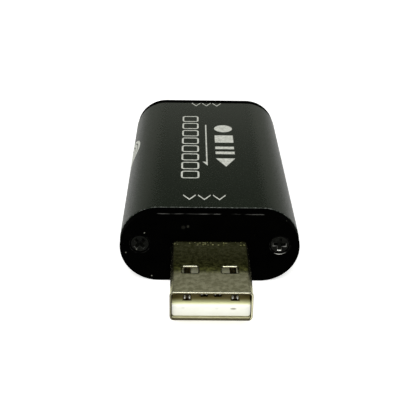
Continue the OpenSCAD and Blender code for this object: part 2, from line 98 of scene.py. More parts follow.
# Data plug
PLUG_W = 12.0
PLUG_H = 4.85
PLUG_R = 0.65
PLUG_SHEET = 0.25
PLUG_TOP = plug_high.z
PLUG_MID = PLUG_TOP - PLUG_H / 2
PLUG_SEAM = 0.004
WINDOW_W = 2.4
WINDOW_L = 1.85
WINDOW_PITCH = 5.9
WINDOW_SHIFT = -0.12
WINDOW_Y = 5.25
WINDOW_R = 0.25
WINDOW_LIP = 0.06
PLUG_LIP = 0.07
PLUG_INNER_LIP = 0.05
PLUG_HOLD = 0.1
PLUG_BORDER = 0.25
PLUG_LIP_STRIP = 0.35
MOUTH_L = 3.0
WING_L = 1.2
TONGUE_TIP = 0.5
TONGUE_ROUND = 0.18
TONGUE_UPPER = PLUG_MID - 1
POWER_SPACING = 7.0
DATA_SPACING = 2.0
CROWN_SIZE = (0.18, 0.4, 0.26)
CROWN_SIDE = 0.36
CROWN_BACK = 0.2

# Video socket
SOCKET_SHEET = 0.3
SOCKET_W = socket_high.x - socket_low.x - 2 * SOCKET_SHEET
SOCKET_H = 4.55
SOCKET_CUT = 2.0
SOCKET_R = 0.4
SOCKET_FLOOR = socket_high.z - SOCKET_SHEET - SOCKET_H

# Printed marks
PRINT_RISE = 0.012
PRINT_SINK = 0.01
PRINT_STROKE = 0.3

# Mesh settings
ARC_STEPS = 48
EDGE_STEPS = 4
SOFT_EDGE = 0.05
FINGER_EDGE = 0.04
SHARP_ANGLE = math.radians(35)
FLAT_ANGLE = math.radians(1)
MERGE = 1e-7


# Outlines, as points across and up, anticlockwise
def arc(cx, cz, r, first, last, steps):
    """Points of an arc between two angles in degrees, both ends included."""
    turns = [math.radians(first + (last - first) * k / steps) for k in range(steps + 1)]
    return [(cx + r * math.cos(t), cz + r * math.sin(t)) for t in turns]


def circle(cx, cz, r, steps=ARC_STEPS):
    return arc(cx, cz, r, 0, 360, steps)[:-1]


def stadium(w, h, inset=0.0):
    """Outline with full round sides, centred at half the tube's height."""
    r = h / 2 - inset
    x = (w - h) / 2
    return arc(x, MID_Z, r, -90, 90, ARC_STEPS) + arc(-x, MID_Z, r, 90, 270, ARC_STEPS)


def bar(x0, x1, y0, y1):
    return [(x0, y0), (x1, y0), (x1, y1), (x0, y1)]


def round_rect(w, h, r, cx, cz, steps=8):
    """Rectangle with round corners."""
    x, z = w / 2 - r, h / 2 - r
    corners = [(x, -z, -90), (x, z, 0), (-x, z, 90), (-x, -z, 180)]
    return [p for dx, dz, a in corners for p in arc(cx + dx, cz + dz, r, a, a + 90, steps)]


def filleted(corners, r, steps=6):
    """Outline of a convex shape with every corner rounded to radius r."""
    points = []
    for i, corner in enumerate(corners):
        corner = Vector(corner)
        back = (Vector(corners[i - 1]) - corner).normalized()
        ahead = (Vector(corners[(i + 1) % len(corners)]) - corner).normalized()
        half = back.angle(ahead) / 2
        middle = corner + (back + ahead).normalized() * r / math.sin(half)
        start = corner + back * r / math.tan(half) - middle
        first = math.degrees(math.atan2(start.y, start.x))
        points += arc(middle.x, middle.y, r, first, first + 180 - math.degrees(2 * half), steps)
    return points


def socket_mouth(grow):
    """Outline of the video socket's mouth, grown by a distance on every side."""
    side = SOCKET_W / 2 + grow
    cut = SOCKET_CUT + grow * (2 - math.sqrt(2))
    low, high = SOCKET_FLOOR - grow, SOCKET_FLOOR + SOCKET_H + grow
    right = [(side - cut, low), (side, low + cut), (side, high)]
    return filleted(right + [(-x, z) for x, z in reversed(right)], SOCKET_R + grow)


def tube_bore():
    """Inner outline of the tube: its bore with two rails and a screw channel on each side."""
    lower_rail = board_low.z - BOARD_GAP - RAIL_T - MID_Z
    upper_rail = board_high.z + BOARD_GAP - MID_Z
    rise, boss_x, boss_r = SCREW_Z - MID_Z, SCREW_SPACING / 2, CHANNEL_R + CHANNEL_WALL

    def wall_angle(z):
        return math.degrees(math.asin(z / BORE_R))

    def wall(z0, z1, steps):
        return arc(ARC_X, 0, BORE_R, wall_angle(z0), wall_angle(z1), steps)

    meets_web = math.degrees(math.asin(CHANNEL_R / boss_r)) - 360
    right = wall(-BORE_R, lower_rail, 12)
    right += [(RAIL_X, lower_rail), (RAIL_X, lower_rail + RAIL_T)]
    right += wall(lower_rail + RAIL_T, upper_rail, 4)
    right += [(RAIL_X, upper_rail), (RAIL_X, upper_rail + RAIL_T), (boss_x, upper_rail + RAIL_T)]
    right += arc(boss_x, rise, boss_r, -90, meets_web, 32)
    right += wall(rise + CHANNEL_R, BORE_R, 24)
    left = [(-x, z) for x, z in reversed(right)]
    return [(x, z + MID_Z) for x, z in right + left]


# Solids made of rings
def across_y(u, v, w):
    """Places an outline across X and Z, with its depth along Y."""
    return Vector((u, w, v)) * MM


def on_top(u, v, w):
    """Places an outline on the tube's flat top, with its depth along Z."""
    return Vector((u, v, BODY_H + w)) * MM


def on_left_shoulder(u, v, w):
    """Wraps an outline round the tube's left side, u along the curve from its top edge."""
    turn = math.pi / 2 + u / MID_Z
    r = MID_Z + w
    return Vector((-ARC_X + r * math.cos(turn), v, MID_Z + r * math.sin(turn))) * MM


def add_solid(bm, outer, holes=(), pits=(), place=across_y):
    """Adds a closed solid: rings are (outline, depth, mark), holes run through it and pits have a floor.

    The mark, of wear and painted glints, is a number, or a function of the place on the outline.
    """
    wear_and_light = bm.verts.layers.float.get("wear_and_light") or bm.verts.layers.float.new("wear_and_light")

    def edges_of(row):
        return [bm.edges.get((row[i - 1], row[i])) for i in range(len(row))]

    walls = []
    for rings in [outer, *holes, *pits]:
        rows = []
        for outline, depth, wear_and_glint in rings:
            row = [bm.verts.new(place(u, v, depth)) for u, v in outline]
            for vert, (u, v) in zip(row, outline):
                vert[wear_and_light] = wear_and_glint(u, v) if callable(wear_and_glint) else wear_and_glint
            rows.append(row)
        for a, b in zip(rows, rows[1:]):
            for i in range(len(a)):
                bm.faces.new((a[i - 1], a[i], b[i], b[i - 1]))
        walls.append(rows)
    through = walls[: 1 + len(holes)]
    bmesh.ops.triangle_fill(bm, use_beauty=True, edges=[e for rows in walls for e in edges_of(rows[0])])
    bmesh.ops.triangle_fill(bm, use_beauty=True, edges=[e for rows in through for e in edges_of(rows[-1])])
    for rows in walls[1 + len(holes):]:
        bmesh.ops.triangle_fill(bm, use_beauty=True, edges=edges_of(rows[-1]))


def rounded_wall(outline_at, front, rear, front_edge, rear_edge, wear_and_glint=(1.0, 1.0), side=1):
    """Rings of a wall with rounded ends, marked with wear and painted glints along the middle of each
    rounding.

    outline_at(d) is the wall's outline drawn in by d, and side is -1 for a hole.
    """
    front_rings, rear_rings = [], []
    for k in range(EDGE_STEPS + 1):
        turn = math.pi / 2 * k / EDGE_STEPS
        inset, run = side * (1 - math.sin(turn)), 1 - math.cos(turn)
        front_wear_glint, rear_wear_glint = wear_and_glint if k == EDGE_STEPS // 2 else (0.0, 0.0)
        front_rings.append((outline_at(front_edge * inset), front + front_edge * run, front_wear_glint))
        rear_rings.append((outline_at(rear_edge * inset), rear - rear_edge * run, rear_wear_glint))
    return front_rings + rear_rings[::-1]


def mesh_object(name, bm):
    """New object at the origin, smooth except across its sharp edges."""
    bmesh.ops.recalc_face_normals(bm, faces=bm.faces)
    mesh = bpy.data.meshes.new(name)
    bm.to_mesh(mesh)
    bm.free()
    return named_object(name, mesh)


def named_object(name, mesh):
    mesh.shade_smooth()
    mesh.set_sharp_from_angle(angle=SHARP_ANGLE)
    piece = bpy.data.objects.new(name, mesh)
    bpy.context.scene.collection.objects.link(piece)
    return piece


def plain_mesh(piece, name):
    """New mesh of the piece as its modifiers shape it; the piece itself is removed."""
    graph = bpy.context.evaluated_depsgraph_get()
    shaped = piece.evaluated_get(graph)
    mesh = bpy.data.meshes.new_from_object(shaped, depsgraph=graph, preserve_all_data_layers=True)
    mesh.name = name
    bpy.data.objects.remove(piece)
    return mesh


def keep_flats(piece):
    """Shades flat faces flat, up to their rounded edges."""
    flats = piece.modifiers.new("flat_faces", "WEIGHTED_NORMAL")
    flats.keep_sharp = True
    return piece


def soften(piece, width, segments=3):
    """Rounds the piece's sharp edges."""
    piece.data.attributes.remove(piece.data.attributes["sharp_edge"])
    bevel = piece.modifiers.new("rounded_edges", "BEVEL")
    bevel.width = width * MM
    bevel.segments = segments
    bevel.limit_method = "ANGLE"
    bevel.angle_limit = SHARP_ANGLE
    return keep_flats(piece)


def settle(piece, finish, body=ROOT, node=None):
    """Gives a piece its finish and its body, and hides the CAD node that it stands for."""
    piece.data.materials.clear()
    piece.data.materials.append(finish)
    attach(piece, body)
    if node:
        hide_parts(node)
    return piece


# Rows of repeated forms, made with Geometry Nodes
def row_tree():
    """Tree that sets copies of a form along a line, each turned a step further than the last."""
    tree = bpy.data.node_groups.new("row_of_forms", "GeometryNodeTree")
    kinds = {"Form": "Object", "Count": "Int", "Start": "Vector", "Step": "Vector",
             "Turn": "Vector", "Turn Step": "Vector", "Finish": "Material"}
    for label, kind in kinds.items():
        tree.interface.new_socket(label, in_out="INPUT", socket_type="NodeSocket" + kind)
    tree.interface.new_socket("Geometry", in_out="OUTPUT", socket_type="NodeSocketGeometry")
    given = tree.nodes.new("NodeGroupInput").outputs
    line = tree.nodes.new("GeometryNodeMeshLine")
    line.mode = "OFFSET"
    form = tree.nodes.new("GeometryNodeObjectInfo")
    index = tree.nodes.new("GeometryNodeInputIndex")
    turned = tree.nodes.new("ShaderNodeVectorMath")
    turned.operation = "MULTIPLY_ADD"
    copies = tree.nodes.new("GeometryNodeInstanceOnPoints")
    real = tree.nodes.new("GeometryNodeRealizeInstances")
    finish = tree.nodes.new("GeometryNodeSetMaterial")
    out = tree.nodes.new("NodeGroupOutput")
    links = [
        (given["Count"], line.inputs["Count"]), (given["Start"], line.inputs["Start Location"]),
        (given["Step"], line.inputs["Offset"]), (given["Form"], form.inputs["Object"]),
        (given["Turn Step"], turned.inputs[0]), (index.outputs["Index"], turned.inputs[1]),
        (given["Turn"], turned.inputs[2]), (line.outputs["Mesh"], copies.inputs["Points"]),
        (form.outputs["Geometry"], copies.inputs["Instance"]),
        (turned.outputs["Vector"], copies.inputs["Rotation"]),
        (copies.outputs["Instances"], real.inputs["Geometry"]),
        (real.outputs["Geometry"], finish.inputs["Geometry"]),
        (given["Finish"], finish.inputs["Material"]), (finish.outputs["Geometry"], out.inputs["Geometry"]),
    ]
    for source, target in links:
        tree.links.new(source, target)
    return tree


ROW_TREE = row_tree()


def row_of(name, form, finish, count, start, step, turn=(0, 0, 0), turn_step=(0, 0, 0)):
    """Plain mesh piece of copies of a form; places are in millimetres and turns in degrees."""
    carrier = bpy.data.objects.new(name + "_row", bpy.data.meshes.new(name + "_row"))
    bpy.context.scene.collection.objects.link(carrier)
    modifier = carrier.modifiers.new("row", "NODES")
    modifier.node_group = ROW_TREE
    values = {"Form": form, "Count": count, "Finish": finish,
              "Start": [c * MM for c in start], "Step": [c * MM for c in step],
              "Turn": [math.radians(a) for a in turn], "Turn Step": [math.radians(a) for a in turn_step]}
    for socket in ROW_TREE.interface.items_tree:
        if socket.in_out == "INPUT":
            modifier[socket.identifier] = values[socket.name]
    return named_object(name, plain_mesh(carrier, name))


# Materials
def add(tree, kind, settings=None, **inputs):
    """New node with its settings; inputs are set, or linked where a socket is given."""
    node = tree.nodes.new(kind)
    for key, value in (settings or {}).items():
        setattr(node, key, value)
    for key, value in inputs.items():
        socket = node.inputs[key.replace("_", " ")]
        if isinstance(value, bpy.types.NodeSocket):
            tree.links.new(value, socket)
        else:
            socket.default_value = value
    return node


def new_finish(name, **sockets):
    """New material and its shader, with constant values on the shader's own sockets."""
    material = bpy.data.materials.new(name)
    material.use_nodes = True
    tree = material.node_tree
    shader = tree.nodes["Principled BSDF"]
    for key, value in sockets.items():
        shader.inputs[key.replace("_", " ")].default_value = value
    return material, tree, shader


def noise(tree, grain, detail=2.0, stretch=(1, 1, 1)):
    """Noise on the piece's own coordinates: its grain in millimetres, longer along an axis by its stretch."""
    place = add(tree, "ShaderNodeTexCoord").outputs["Object"]
    scale = [1 / (grain * MM * s) for s in stretch]
    place = add(tree, "ShaderNodeMapping", Vector=place, Scale=scale).outputs["Vector"]
    return add(tree, "ShaderNodeTexNoise", Vector=place, Scale=1.0, Detail=detail).outputs[0]


def spread(tree, value, low, high, start=0.3, end=0.7):
    """Maps the middle of a noise to a range."""
    node = add(tree, "ShaderNodeMapRange", Value=value, From_Min=start, From_Max=end, To_Min=low, To_Max=high)
    return node.outputs["Result"]


def ramp(tree, value, start, end, low=0.0, high=1.0, unit=MM):
    """Smooth step of a coordinate between two places, in millimetres unless a unit is given."""
    node = add(tree, "ShaderNodeMapRange", {"interpolation_type": "SMOOTHSTEP"}, Value=value,
               From_Min=start * unit, From_Max=end * unit, To_Min=low, To_Max=high)
    return node.outputs["Result"]


def mixed(tree, share, first, second, blend="MIX"):
    node = add(tree, "ShaderNodeMixRGB", {"blend_type": blend}, Fac=share, Color1=first, Color2=second)
    return node.outputs["Color"]


def maths(tree, operation, *values):
    """Result of an operation on sockets or numbers."""
    node = add(tree, "ShaderNodeMath", {"operation": operation})
    for socket, value in zip(node.inputs, values):
        if isinstance(value, bpy.types.NodeSocket):
            tree.links.new(value, socket)
        else:
            socket.default_value = value
    return node.outputs["Value"]


def product(tree, a, b):
    return maths(tree, "MULTIPLY", a, b)


def way_of(tree, kind="Object"):
    """X, Y and Z of a texture coordinate."""
    place = add(tree, "ShaderNodeTexCoord").outputs[kind]
    return add(tree, "ShaderNodeSeparateXYZ", Vector=place).outputs


def bumped(tree, shader, *layers):
    """Relief from layers of (height, strength, depth in millimetres)."""
    normal = None
    for height, strength, depth in layers:
        node = add(tree, "ShaderNodeBump", Height=height, Strength=strength, Distance=depth * MM)
        if normal:
            tree.links.new(normal, node.inputs["Normal"])
        normal = node.outputs["Normal"]
    tree.links.new(normal, shader.inputs["Normal"])


def light_and_wear_mark(tree):
    return add(tree, "ShaderNodeAttribute", {"attribute_name": "wear_and_light"}).outputs["Fac"]


def worn_and_glinting_edges(tree, grain, start, end, stretch=(1, 1, 1)):
    """Broken bright patches along the edges that the mesh marks, for wear and painted glints."""
    patches = spread(tree, noise(tree, grain, 3.0, stretch), 0.0, 1.0, start, end)
    return product(tree, light_and_wear_mark(tree), patches)


def dust(tree, spacing, size, share):
    """Scattered specks: one in a cell of the given spacing, in a share of the cells."""
    place = add(tree, "ShaderNodeTexCoord").outputs["Object"]
    cells = add(tree, "ShaderNodeTexVoronoi", Vector=place, Scale=1 / (spacing * MM))
    near = size / spacing
    speck = spread(tree, cells.outputs["Distance"], 1.0, 0.0, near * 0.6, near)
    lot = add(tree, "ShaderNodeSeparateColor", Color=cells.outputs["Color"]).outputs["Red"]
    return product(tree, speck, maths(tree, "LESS_THAN", lot, share))


def spots(tree, base, y, marks, tone):
    """Base colour with small marks on the face at y: place across and up, half width and height, strength."""
    place = add(tree, "ShaderNodeTexCoord").outputs["Object"]
    for (x, z), (w, h), share in marks:
        near = add(tree, "ShaderNodeMapping", Vector=place, Location=[-x / w, -y / h, -z / h],
                   Scale=[1 / (w * MM), 1 / (h * MM), 1 / (h * MM)]).outputs["Vector"]
        spot = add(tree, "ShaderNodeTexGradient", {"gradient_type": "SPHERICAL"}, Vector=near)
        base = mixed(tree, spread(tree, spot.outputs["Fac"], 0.0, share, 0.0, 0.5), base, tone)
    return base


def colour(r, g, b):
    return (r, g, b, 1.0)


def anodised_black():
    """Satin black skin of the drawn tube: fine grain, faint lengthwise lines, and bright broken edges of wear
    and painted glints.
    """
    material, tree, shader = new_finish("anodised_black", Specular_IOR_Level=0.2)
    shader.inputs["Specular Tint"].default_value = colour(0.95, 1.0, 0.92)
    cloud = spread(tree, noise(tree, 6.0, 3.0), 0.0, 1.0)
    skin = mixed(tree, cloud, colour(0.0014, 0.0046, 0.0013), colour(0.0026, 0.0062, 0.0022))
    # Bright broken patches on the marked edges: wear, and painted glints.
    wear_and_glint = worn_and_glinting_edges(tree, 0.4, 0.44, 0.7)
    tree.links.new(mixed(tree, wear_and_glint, skin, colour(0.24, 0.25, 0.24)), shader.inputs["Base Color"])
    grain = noise(tree, 0.22, 3.0)
    lines = noise(tree, 0.16, 2.0, (1, 60, 1))
    across = maths(tree, "ABSOLUTE", way_of(tree)["X"])
    top_rough, side_rough = spread(tree, grain, 0.15, 0.3), spread(tree, grain, 0.36, 0.52)
    rough = ramp(tree, across, ARC_X - 1, ARC_X + 4, top_rough, side_rough)
    tree.links.new(rough, shader.inputs["Roughness"])
    bumped(tree, shader, (grain, 0.3, 0.01), (lines, 0.03, 0.01))
    return material


# Specks of dust on the plug's end plate
PLATE_SPECKS = [
    ((0.77 - SCREW_SPACING / 2, SCREW_Z + 2.07), (0.13, 0.13), 0.35),
    ((-2.22 - SCREW_SPACING / 2, SCREW_Z - 1.52), (0.13, 0.13), 0.25),
    ((-9.2, 1.0), (0.14, 0.14), 0.35),
    ((-3.47, 10.05), (0.25, 0.3), 0.04),
    ((-4.2, 9.9), (0.4, 0.4), 0.015),
]


def plate_black():
    """Deep black coat of the end plates, with a little dust and painted glints along the edges."""
    material, tree, shader = new_finish("plate_black", Specular_IOR_Level=0.001)
    cloud = spread(tree, noise(tree, 3.0, 3.0), 0.0, 1.0)
    coat = mixed(tree, cloud, colour(0.0003, 0.0003, 0.0003), colour(0.0007, 0.0007, 0.0006))
    specks = dust(tree, 1.7, 0.11, 0.1)
    dusty = mixed(tree, specks, coat, colour(0.16, 0.16, 0.13))
    dusty = spots(tree, dusty, plug_plate_low.y, PLATE_SPECKS, colour(0.5, 0.5, 0.42))
    # Painted glints where the mesh marks the edges.
    wear_and_glint = worn_and_glinting_edges(tree, 0.35, 0.42, 0.62, (5, 1, 1))
    tree.links.new(mixed(tree, wear_and_glint, dusty, colour(0.6, 0.6, 0.56)), shader.inputs["Base Color"])
    tree.links.new(spread(tree, noise(tree, 0.8, 3.0), 0.6, 0.75), shader.inputs["Roughness"])
    bumped(tree, shader, (noise(tree, 0.12, 3.0), 0.3, 0.01))
    return material


# Painted glint spot on the edge of the left screw's head
SCREW_GLINT_SPOTS = [((-0.55 - SCREW_SPACING / 2, SCREW_Z - 1.05), (0.14, 0.14), 0.2)]


def screw_black():
    """Blackened steel of the screws, with painted glints of bright metal on the rims and in the recess, and a
    painted glint spot on the left screw's head.
    """
    material, tree, shader = new_finish("screw_black", Specular_IOR_Level=0.03)
    cloud = spread(tree, noise(tree, 0.4, 3.0), 0.0, 1.0)
    skin = mixed(tree, cloud, colour(0.001, 0.0011, 0.0008), colour(0.006, 0.0065, 0.005))
    skin = spots(tree, skin, screw_low.y, SCREW_GLINT_SPOTS, colour(0.5, 0.5, 0.42))
    wear_and_glint = light_and_wear_mark(tree)
    tree.links.new(mixed(tree, wear_and_glint, skin, colour(0.85, 0.85, 0.8)), shader.inputs["Base Color"])
    tree.links.new(wear_and_glint, shader.inputs["Metallic"])
    tree.links.new(spread(tree, noise(tree, 0.2, 2.0), 0.2, 0.36), shader.inputs["Roughness"])
    bumped(tree, shader, (noise(tree, 0.1, 2.0), 0.3, 0.01))
    return material


def plate_reflection_and_crumbs(tree, shader, plate):
    """Painted reflection of the black end plate in olive patches over the rear of the plug's upper face, with
    crumbs of dirt along the end plate; everything below the upper face is tinted olive.
    """
    way = way_of(tree)
    window = plug_low.y + WINDOW_Y
    above = ramp(tree, way["Z"], PLUG_TOP - 0.12, PLUG_TOP - 0.03)
    plate = mixed(tree, spread(tree, above, 0.65, 0.0, 0.0, 1.0), plate, colour(0.57, 0.55, 0.37))
    # Painted reflection over the rear of the upper face: darkest just behind the windows, paler towards the
    # end plate.
    along = product(tree, above, ramp(tree, way["Y"], window - 0.6, window + 0.9))
    root = ramp(tree, way["Y"], window + 0.9, plug_plate_low.y)
    patches = spread(tree, noise(tree, 0.6, 6.0), 0.0, 1.0, 0.4, 0.6)
    dark_reflection = mixed(tree, patches, colour(0.09, 0.094, 0.02), colour(0.38, 0.39, 0.12))
    pale_reflection = mixed(tree, patches, colour(0.57, 0.59, 0.22), colour(1.0, 1.0, 0.5))
    painted_reflection = mixed(tree, along, plate, mixed(tree, root, dark_reflection, pale_reflection))
    near_plate = product(tree, above, ramp(tree, way["Y"], plug_plate_low.y - 1.0, plug_plate_low.y - 0.3))
    crumbs = product(tree, near_plate, dust(tree, 0.4, 0.17, 0.4))
    bare = spread(tree, crumbs, 1.0, 0.0, 0.0, 1.0)
    tree.links.new(product(tree, bare, spread(tree, above, 1.0, 0.965, 0.0, 1.0)), shader.inputs["Metallic"])
    return mixed(tree, crumbs, painted_reflection, colour(0.07, 0.068, 0.034))


def nickel(name, light, dark, low, high, metal=0.95, with_plate_reflection=False):
    """Nickel plate on folded sheet: mottled and scratched along its length.

    The mesh's mark paints shade above zero, darkening to a near-black brown at one, and a pale highlight
    below zero.
    """
    material, tree, shader = new_finish(name, Metallic=metal)
    mottle = spread(tree, noise(tree, 0.7, 6.0), 0.0, 1.0, 0.4, 0.6)
    plate = mixed(tree, mottle, dark, light)
    flecks = dust(tree, 1.0, 0.18, 0.22)
    plate = mixed(tree, product(tree, flecks, 0.6), plate, colour(0.12, 0.11, 0.06))
    scratches = spread(tree, noise(tree, 0.07, 2.0, (1, 40, 1)), 0.0, 1.0, 0.62, 0.72)
    plate = mixed(tree, product(tree, scratches, 0.35), plate, light)
    if with_plate_reflection:
        plate = plate_reflection_and_crumbs(tree, shader, plate)
    mark = light_and_wear_mark(tree)
    # Painted highlight where the mark is below zero, painted shade where it is above.
    plate = mixed(tree, spread(tree, mark, 0.0, 1.0, 0.0, -1.0), plate, colour(0.86, 0.85, 0.77))
    tree.links.new(mixed(tree, mark, plate, colour(0.05, 0.043, 0.024)), shader.inputs["Base Color"])
    rough = noise(tree, 0.5, 4.0)
    tree.links.new(spread(tree, rough, low, high), shader.inputs["Roughness"])
    bumped(tree, shader, (noise(tree, 0.5, 3.0), 0.06, 0.01), (scratches, 0.05, 0.005))
    return material


# Small marks on the front of the tongue
TONGUE_MARKS = [
    ((3.2, 3.87), (0.55, 0.2), 0.8),
    ((-4.07, 3.97), (0.3, 0.2), 0.15),
    ((0.81, 3.9), (0.3, 0.2), 0.12),
]


def white_plastic():
    """Glossy off-white moulding of the plug's tongue, with painted shade and a painted reflection on its
    upper front.
    """
    material, tree, shader = new_finish("white_plastic", Specular_IOR_Level=0.5)
    cloud = spread(tree, noise(tree, 1.5, 3.0), 0.0, 1.0)
    body = mixed(tree, cloud, colour(0.88, 0.885, 0.79), colour(0.92, 0.925, 0.85))
    body = spots(tree, body, tongue_low.y, TONGUE_MARKS, colour(0.2, 0.19, 0.12))
    back = way_of(tree)["Y"]
    # Along the tongue from its tip: a yellow painted reflection over the rounded front edge, dark brown
    # painted shade under the plug's top lip from 0.5 mm back, fading to pale yellow from 3 to 4 mm back.
    edge = ramp(tree, back, tongue_low.y + 0.05, tongue_low.y + 0.4)
    shade = ramp(tree, back, tongue_low.y + 0.5, tongue_low.y + 1.6)
    shade_fade = ramp(tree, back, tongue_low.y + 3.0, tongue_low.y + 4.0)
    painted_tint = mixed(tree, shade_fade, colour(0.3, 0.24, 0.09), colour(1.0, 1.0, 0.84))
    pale = mixed(tree, edge, colour(1.0, 1.0, 1.0), colour(0.93, 0.94, 0.58))
    painted_tint = mixed(tree, shade, pale, painted_tint)
    tree.links.new(mixed(tree, 1.0, body, painted_tint, "MULTIPLY"), shader.inputs["Base Color"])
    tree.links.new(spread(tree, noise(tree, 0.4, 2.0), 0.28, 0.4), shader.inputs["Roughness"])
    bumped(tree, shader, (noise(tree, 0.3, 2.0), 0.12, 0.01))
    return material


def gilt(name, dark, light):
    """Thin gold on the contacts, darker in patches."""
    material, tree, shader = new_finish(name, Metallic=1.0)
    mottle = spread(tree, noise(tree, 0.5, 3.0), 0.0, 1.0)
    tree.links.new(mixed(tree, mottle, dark, light), shader.inputs["Base Color"])
    tree.links.new(spread(tree, noise(tree, 0.2, 2.0), 0.08, 0.16), shader.inputs["Roughness"])
    bumped(tree, shader, (noise(tree, 0.3, 2.0), 0.05, 0.01))
    return material


def moulded(name, dark, light, low, high):
    """Moulded plastic, ceramic or coated board with a fine grain."""
    material, tree, shader = new_finish(name, Specular_IOR_Level=0.4)
    cloud = spread(tree, noise(tree, 0.9, 3.0), 0.0, 1.0)
    tree.links.new(mixed(tree, cloud, dark, light), shader.inputs["Base Color"])
    tree.links.new(spread(tree, noise(tree, 0.3, 2.0), low, high), shader.inputs["Roughness"])
    bumped(tree, shader, (noise(tree, 0.12, 3.0), 0.3, 0.012))
    return material


def print_ink():
    """Pale ink of the printed marks, thin in places."""
    material, tree, shader = new_finish("print_ink", Specular_IOR_Level=0.3)
    thin = spread(tree, noise(tree, 0.35, 3.0), 0.0, 1.0, 0.3, 0.6)
    ink = mixed(tree, thin, colour(0.42, 0.43, 0.39), colour(0.68, 0.69, 0.64))
    tree.links.new(ink, shader.inputs["Base Color"])
    tree.links.new(spread(tree, noise(tree, 0.2, 2.0), 0.45, 0.6), shader.inputs["Roughness"])
    bumped(tree, shader, (noise(tree, 0.1, 2.0), 0.2, 0.005))
    return material


ANODISED = anodised_black()
PLATE = plate_black()
SCREW = screw_black()
PLUG_NICKEL = nickel("plug_nickel", colour(0.7, 0.67, 0.47), colour(0.46, 0.44, 0.28), 0.16, 0.22, with_plate_reflection=True)
SOCKET_NICKEL = nickel("socket_nickel", colour(0.68, 0.66, 0.61), colour(0.52, 0.5, 0.45), 0.2, 0.34)
TIN = nickel("tin", colour(0.72, 0.72, 0.71), colour(0.55, 0.55, 0.54), 0.25, 0.4)
CROWN_TIN = nickel("crown_tin", colour(0.95, 0.94, 0.9), colour(0.85, 0.84, 0.79), 0.15, 0.25, metal=0.5)
TONGUE = white_plastic()
# The plug's contacts get a much darker gold than the socket's: painted shade of the plug's dark inside.
PLUG_GILT_SHADED = gilt("plug_gilt_shaded", colour(0.05, 0.038, 0.022), colour(0.13, 0.1, 0.06))
SOCKET_GILT = gilt("socket_gilt", colour(0.55, 0.4, 0.17), colour(0.82, 0.64, 0.32))
SOCKET_BLACK = moulded("socket_black", colour(0.008, 0.008, 0.009), colour(0.014, 0.014, 0.015), 0.35, 0.5)
CHIP = moulded("chip", colour(0.01, 0.01, 0.011), colour(0.018, 0.018, 0.019), 0.45, 0.65)
BOARD = moulded("board", colour(0.008, 0.07, 0.026), colour(0.014, 0.11, 0.045), 0.25, 0.4)
CERAMIC = moulded("ceramic", colour(0.33, 0.19, 0.08), colour(0.45, 0.28, 0.13), 0.35, 0.5)
INK = print_ink()


# Housing
def housing_tube():
    bm = bmesh.new()
    front, rear = tube_low.y, tube_high.y
    outer = rounded_wall(lambda d: stadium(BODY_W, BODY_H, d), front, rear, TUBE_EDGE, TUBE_EDGE)
    channels = [circle(s * SCREW_SPACING / 2, SCREW_Z, CHANNEL_R) for s in (-1, 1)]
    bores = [[(outline, y, 0.0) for y in (front, rear)] for outline in (tube_bore(), *channels)]
    add_solid(bm, outer, bores)
    return keep_flats(mesh_object("housing_tube_skin", bm))


def end_plate(name, face, back, opening):
    """End plate with countersunk screw holes, from its face to its back; opening(d) is grown by d."""
    bm = bmesh.new()
    out = 1 if back > face else -1
    seat_r = HEAD_D / 2 + SEAT_GAP + HEAD_SINK
    hole_r = SCREW_D / 2 + SHANK_GAP

    def rings(outline_at, edge_at_face, wear_and_glint, side=1):
        wall = rounded_wall(outline_at, 0, abs(back - face), edge_at_face, PLATE_BACK_EDGE, wear_and_glint, side)
        return [(outline, face + out * depth, wear_and_light) for outline, depth, wear_and_light in wall]

    # Painted glints: along the top of the face's edge, on the upper rim of the opening, and in a crescent on
    # the lower lip of the right screw's seat.
    def top_glint(u, v):
        return 0.15 if v > MID_Z and abs(u) < ARC_X else 0.0

    def rim_glint(u, v):
        return 0.2 if v > PLUG_TOP and abs(u) < PLUG_W / 2 - PLUG_R else 0.01

    def lip_glint(u, v):
        return max(0.03, ((SCREW_Z - v) / seat_r) ** 9) if u > 0 else 0.03

    outer = rings(lambda d: stadium(PLATE_W, PLATE_H, d), PLATE_EDGE, (top_glint, 0.0))
    cut = rings(lambda d: opening(-d), OPENING_EDGE, (rim_glint, 0.0), -1)
    seats = []
    for s in (-1, 1):
        depths = [(seat_r + SEAT_EDGE, 0, 0.0), (seat_r, SEAT_EDGE / 2, lip_glint),
                  (seat_r - SEAT_EDGE, SEAT_EDGE * 1.5, 0.0),
                  (hole_r, seat_r - hole_r, 0.0), (hole_r, abs(back - face), 0.0)]
        seats.append([(circle(s * SCREW_SPACING / 2, SCREW_Z, r), face + out * y, w) for r, y, w in depths])
    add_solid(bm, outer, [cut, *seats])
    return keep_flats(mesh_object(name, bm))


def plug_opening(grow):
    w, h = PLUG_W + 2 * (PLATE_GAP + grow), PLUG_H + 2 * (PLATE_GAP + grow)
    return round_rect(w, h, PLUG_R + PLATE_GAP + grow, 0, PLUG_MID)


def socket_opening(grow):
    return socket_mouth(SOCKET_SHEET + PLATE_GAP + grow)


settle(housing_tube(), ANODISED, node="housing_tube")
plug_plate = end_plate("plug_end_plate_coated", plug_plate_low.y, plug_plate_high.y, plug_opening)
settle(plug_plate, PLATE, node="plug_end_plate")
socket_plate = end_plate("socket_end_plate_coated", socket_plate_high.y, socket_plate_low.y, socket_opening)
settle(socket_plate, PLATE, node="socket_end_plate")


# Screws
THREAD_PITCH = 0.4
THREAD_DEPTH = 0.16
THREAD_STEPS = 32
RECESS_REACH = 1.05
RECESS_W = 0.58
RECESS_DEPTH = 0.75
RECESS_EDGE = 0.05
HEAD_RIM = 0.08
PLAIN_SHANK = 0.3
FRONT_TURN, FRONT_TURN_STEP = (0, 45, 0), (0, -43, 0)
REAR_TURN, REAR_TURN_STEP = (0, 20, 180), (0, 50, 0)


